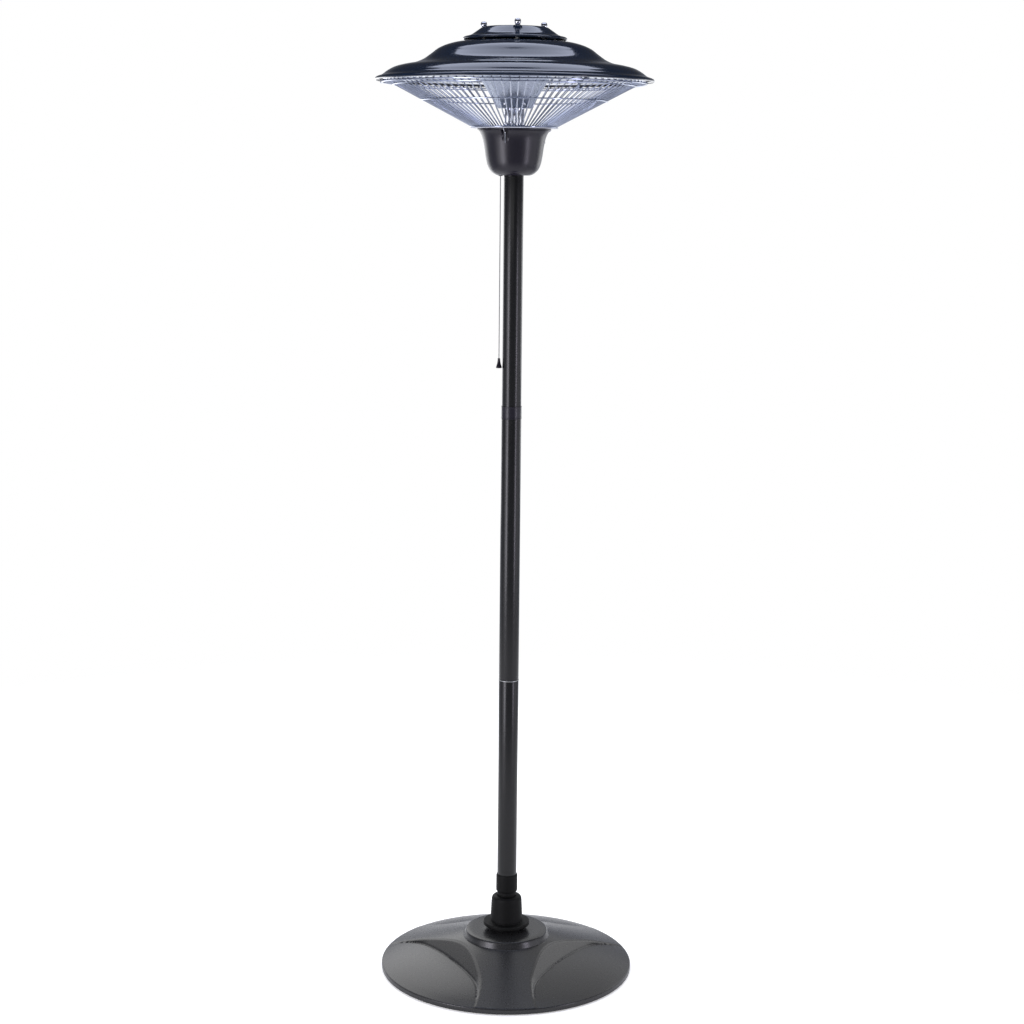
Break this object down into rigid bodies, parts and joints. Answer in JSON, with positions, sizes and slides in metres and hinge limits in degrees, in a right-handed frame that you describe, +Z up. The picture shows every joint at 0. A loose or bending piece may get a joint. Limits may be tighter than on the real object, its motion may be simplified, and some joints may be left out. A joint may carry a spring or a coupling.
{
  "type": "patio heater",
  "caption": "Free-standing infrared patio heater: domed weighted base, jointed pole, bell housing with pull cord, wire guard and round shade over quartz lamps.",
  "frame": {"origin": "on the floor under the middle of the pole", "axes": "+Z up along the pole; -Y is the front, as pictured; +X to the right seen from the front"},
  "size_m": [0.5964, 0.5964, 2.1227],
  "materials": {
    "satin_black_plastic": "fine satin moulding",
    "black_rubber": "moulded rubber",
    "satin_black_paint": "smooth powder coat",
    "zinc_steel": "zinc-plated steel",
    "chrome_wire": "bright chrome plating",
    "silicone": "silicone insulation",
    "polished_aluminium": "polished sheet",
    "gloss_black_enamel": "gloss black enamel over spun steel",
    "quartz": "clear fused quartz",
    "filament": "coiled resistance wire",
    "ceramic": "unglazed steatite",
    "white_plastic": "heat-resistant moulding",
    "braided_cord": "braided polyester"
  },
  "bodies": {
    "stand": {"base_cover": "satin_black_plastic", "cable_grommet": "black_rubber", "base_plate": "satin_black_paint", "rubber_feet": "black_rubber", "pole_socket": "satin_black_paint", "socket_bolts": "zinc_steel", "base_collar": "satin_black_plastic", "pole_sleeve": "satin_black_plastic", "pole_lower": "satin_black_paint", "lower_coupler": "zinc_steel", "pole_middle": "satin_black_paint", "upper_coupler": "satin_black_plastic", "pole_upper": "satin_black_paint", "bell_housing": "satin_black_plastic", "pole_bush": "satin_black_plastic", "guard_floor_plate": "zinc_steel", "control_chassis": "zinc_steel", "support_tubes": "chrome_wire", "tube_nuts": "zinc_steel", "lamp_leads": "silicone", "reflector_cone": "polished_aluminium", "hub_cup": "zinc_steel", "cone_screws": "chrome_wire", "hub_column": "zinc_steel", "shade": "gloss_black_enamel", "reflector_dish": "polished_aluminium", "vent_cap": "gloss_black_enamel", "cap_spacers": "zinc_steel", "cap_studs": "zinc_steel", "stud_nuts": "zinc_steel", "acorn_nuts": "chrome_wire", "quartz_lamps": "quartz", "lamp_filaments": "filament", "lamp_holders": "ceramic", "lamp_bars": "zinc_steel", "lamp_standoffs": "zinc_steel", "guard_wires": "chrome_wire", "guard_rings": "chrome_wire", "rim_hooks": "satin_black_paint", "guard_clips": "chrome_wire", "switch_body": "white_plastic", "switch_cover": "white_plastic", "lever_pin": "zinc_steel", "return_spring": "zinc_steel", "cord_eyelet": "satin_black_plastic", "terminal_block": "ceramic", "tilt_switch": "zinc_steel", "thermal_cutout": "zinc_steel"},
    "pull": {"pull_cord": "braided_cord", "pull_knob": "satin_black_plastic", "cord_hook": "zinc_steel"},
    "lever": {"switch_lever": "zinc_steel"},
    "rotor": {"switch_rotor": "white_plastic"}
  },
  "joints": [
    {"name": "cord_pull", "type": "slide", "parent": "stand", "child": "pull", "axis": [0, 0, -1], "range_m": [0, 0.012], "stiffness_N_per_m": 120, "deforming": ["return_spring"]},
    {"name": "lever_swing", "type": "hinge", "parent": "stand", "child": "lever", "pos_m": [-0.0085, -0.004, 1.843], "axis": [0, -1, 0], "range_deg": [0, 33.4]},
    {"name": "rotor_turn", "type": "hinge", "parent": "stand", "child": "rotor", "pos_m": [-0.0295, -0.004, 1.867], "axis": [0, -1, 0], "continuous": true}
  ],
  "couplings": [
    {"joint": "lever_swing", "follows": "cord_pull", "rad_per_m": 48.576}
  ]
}
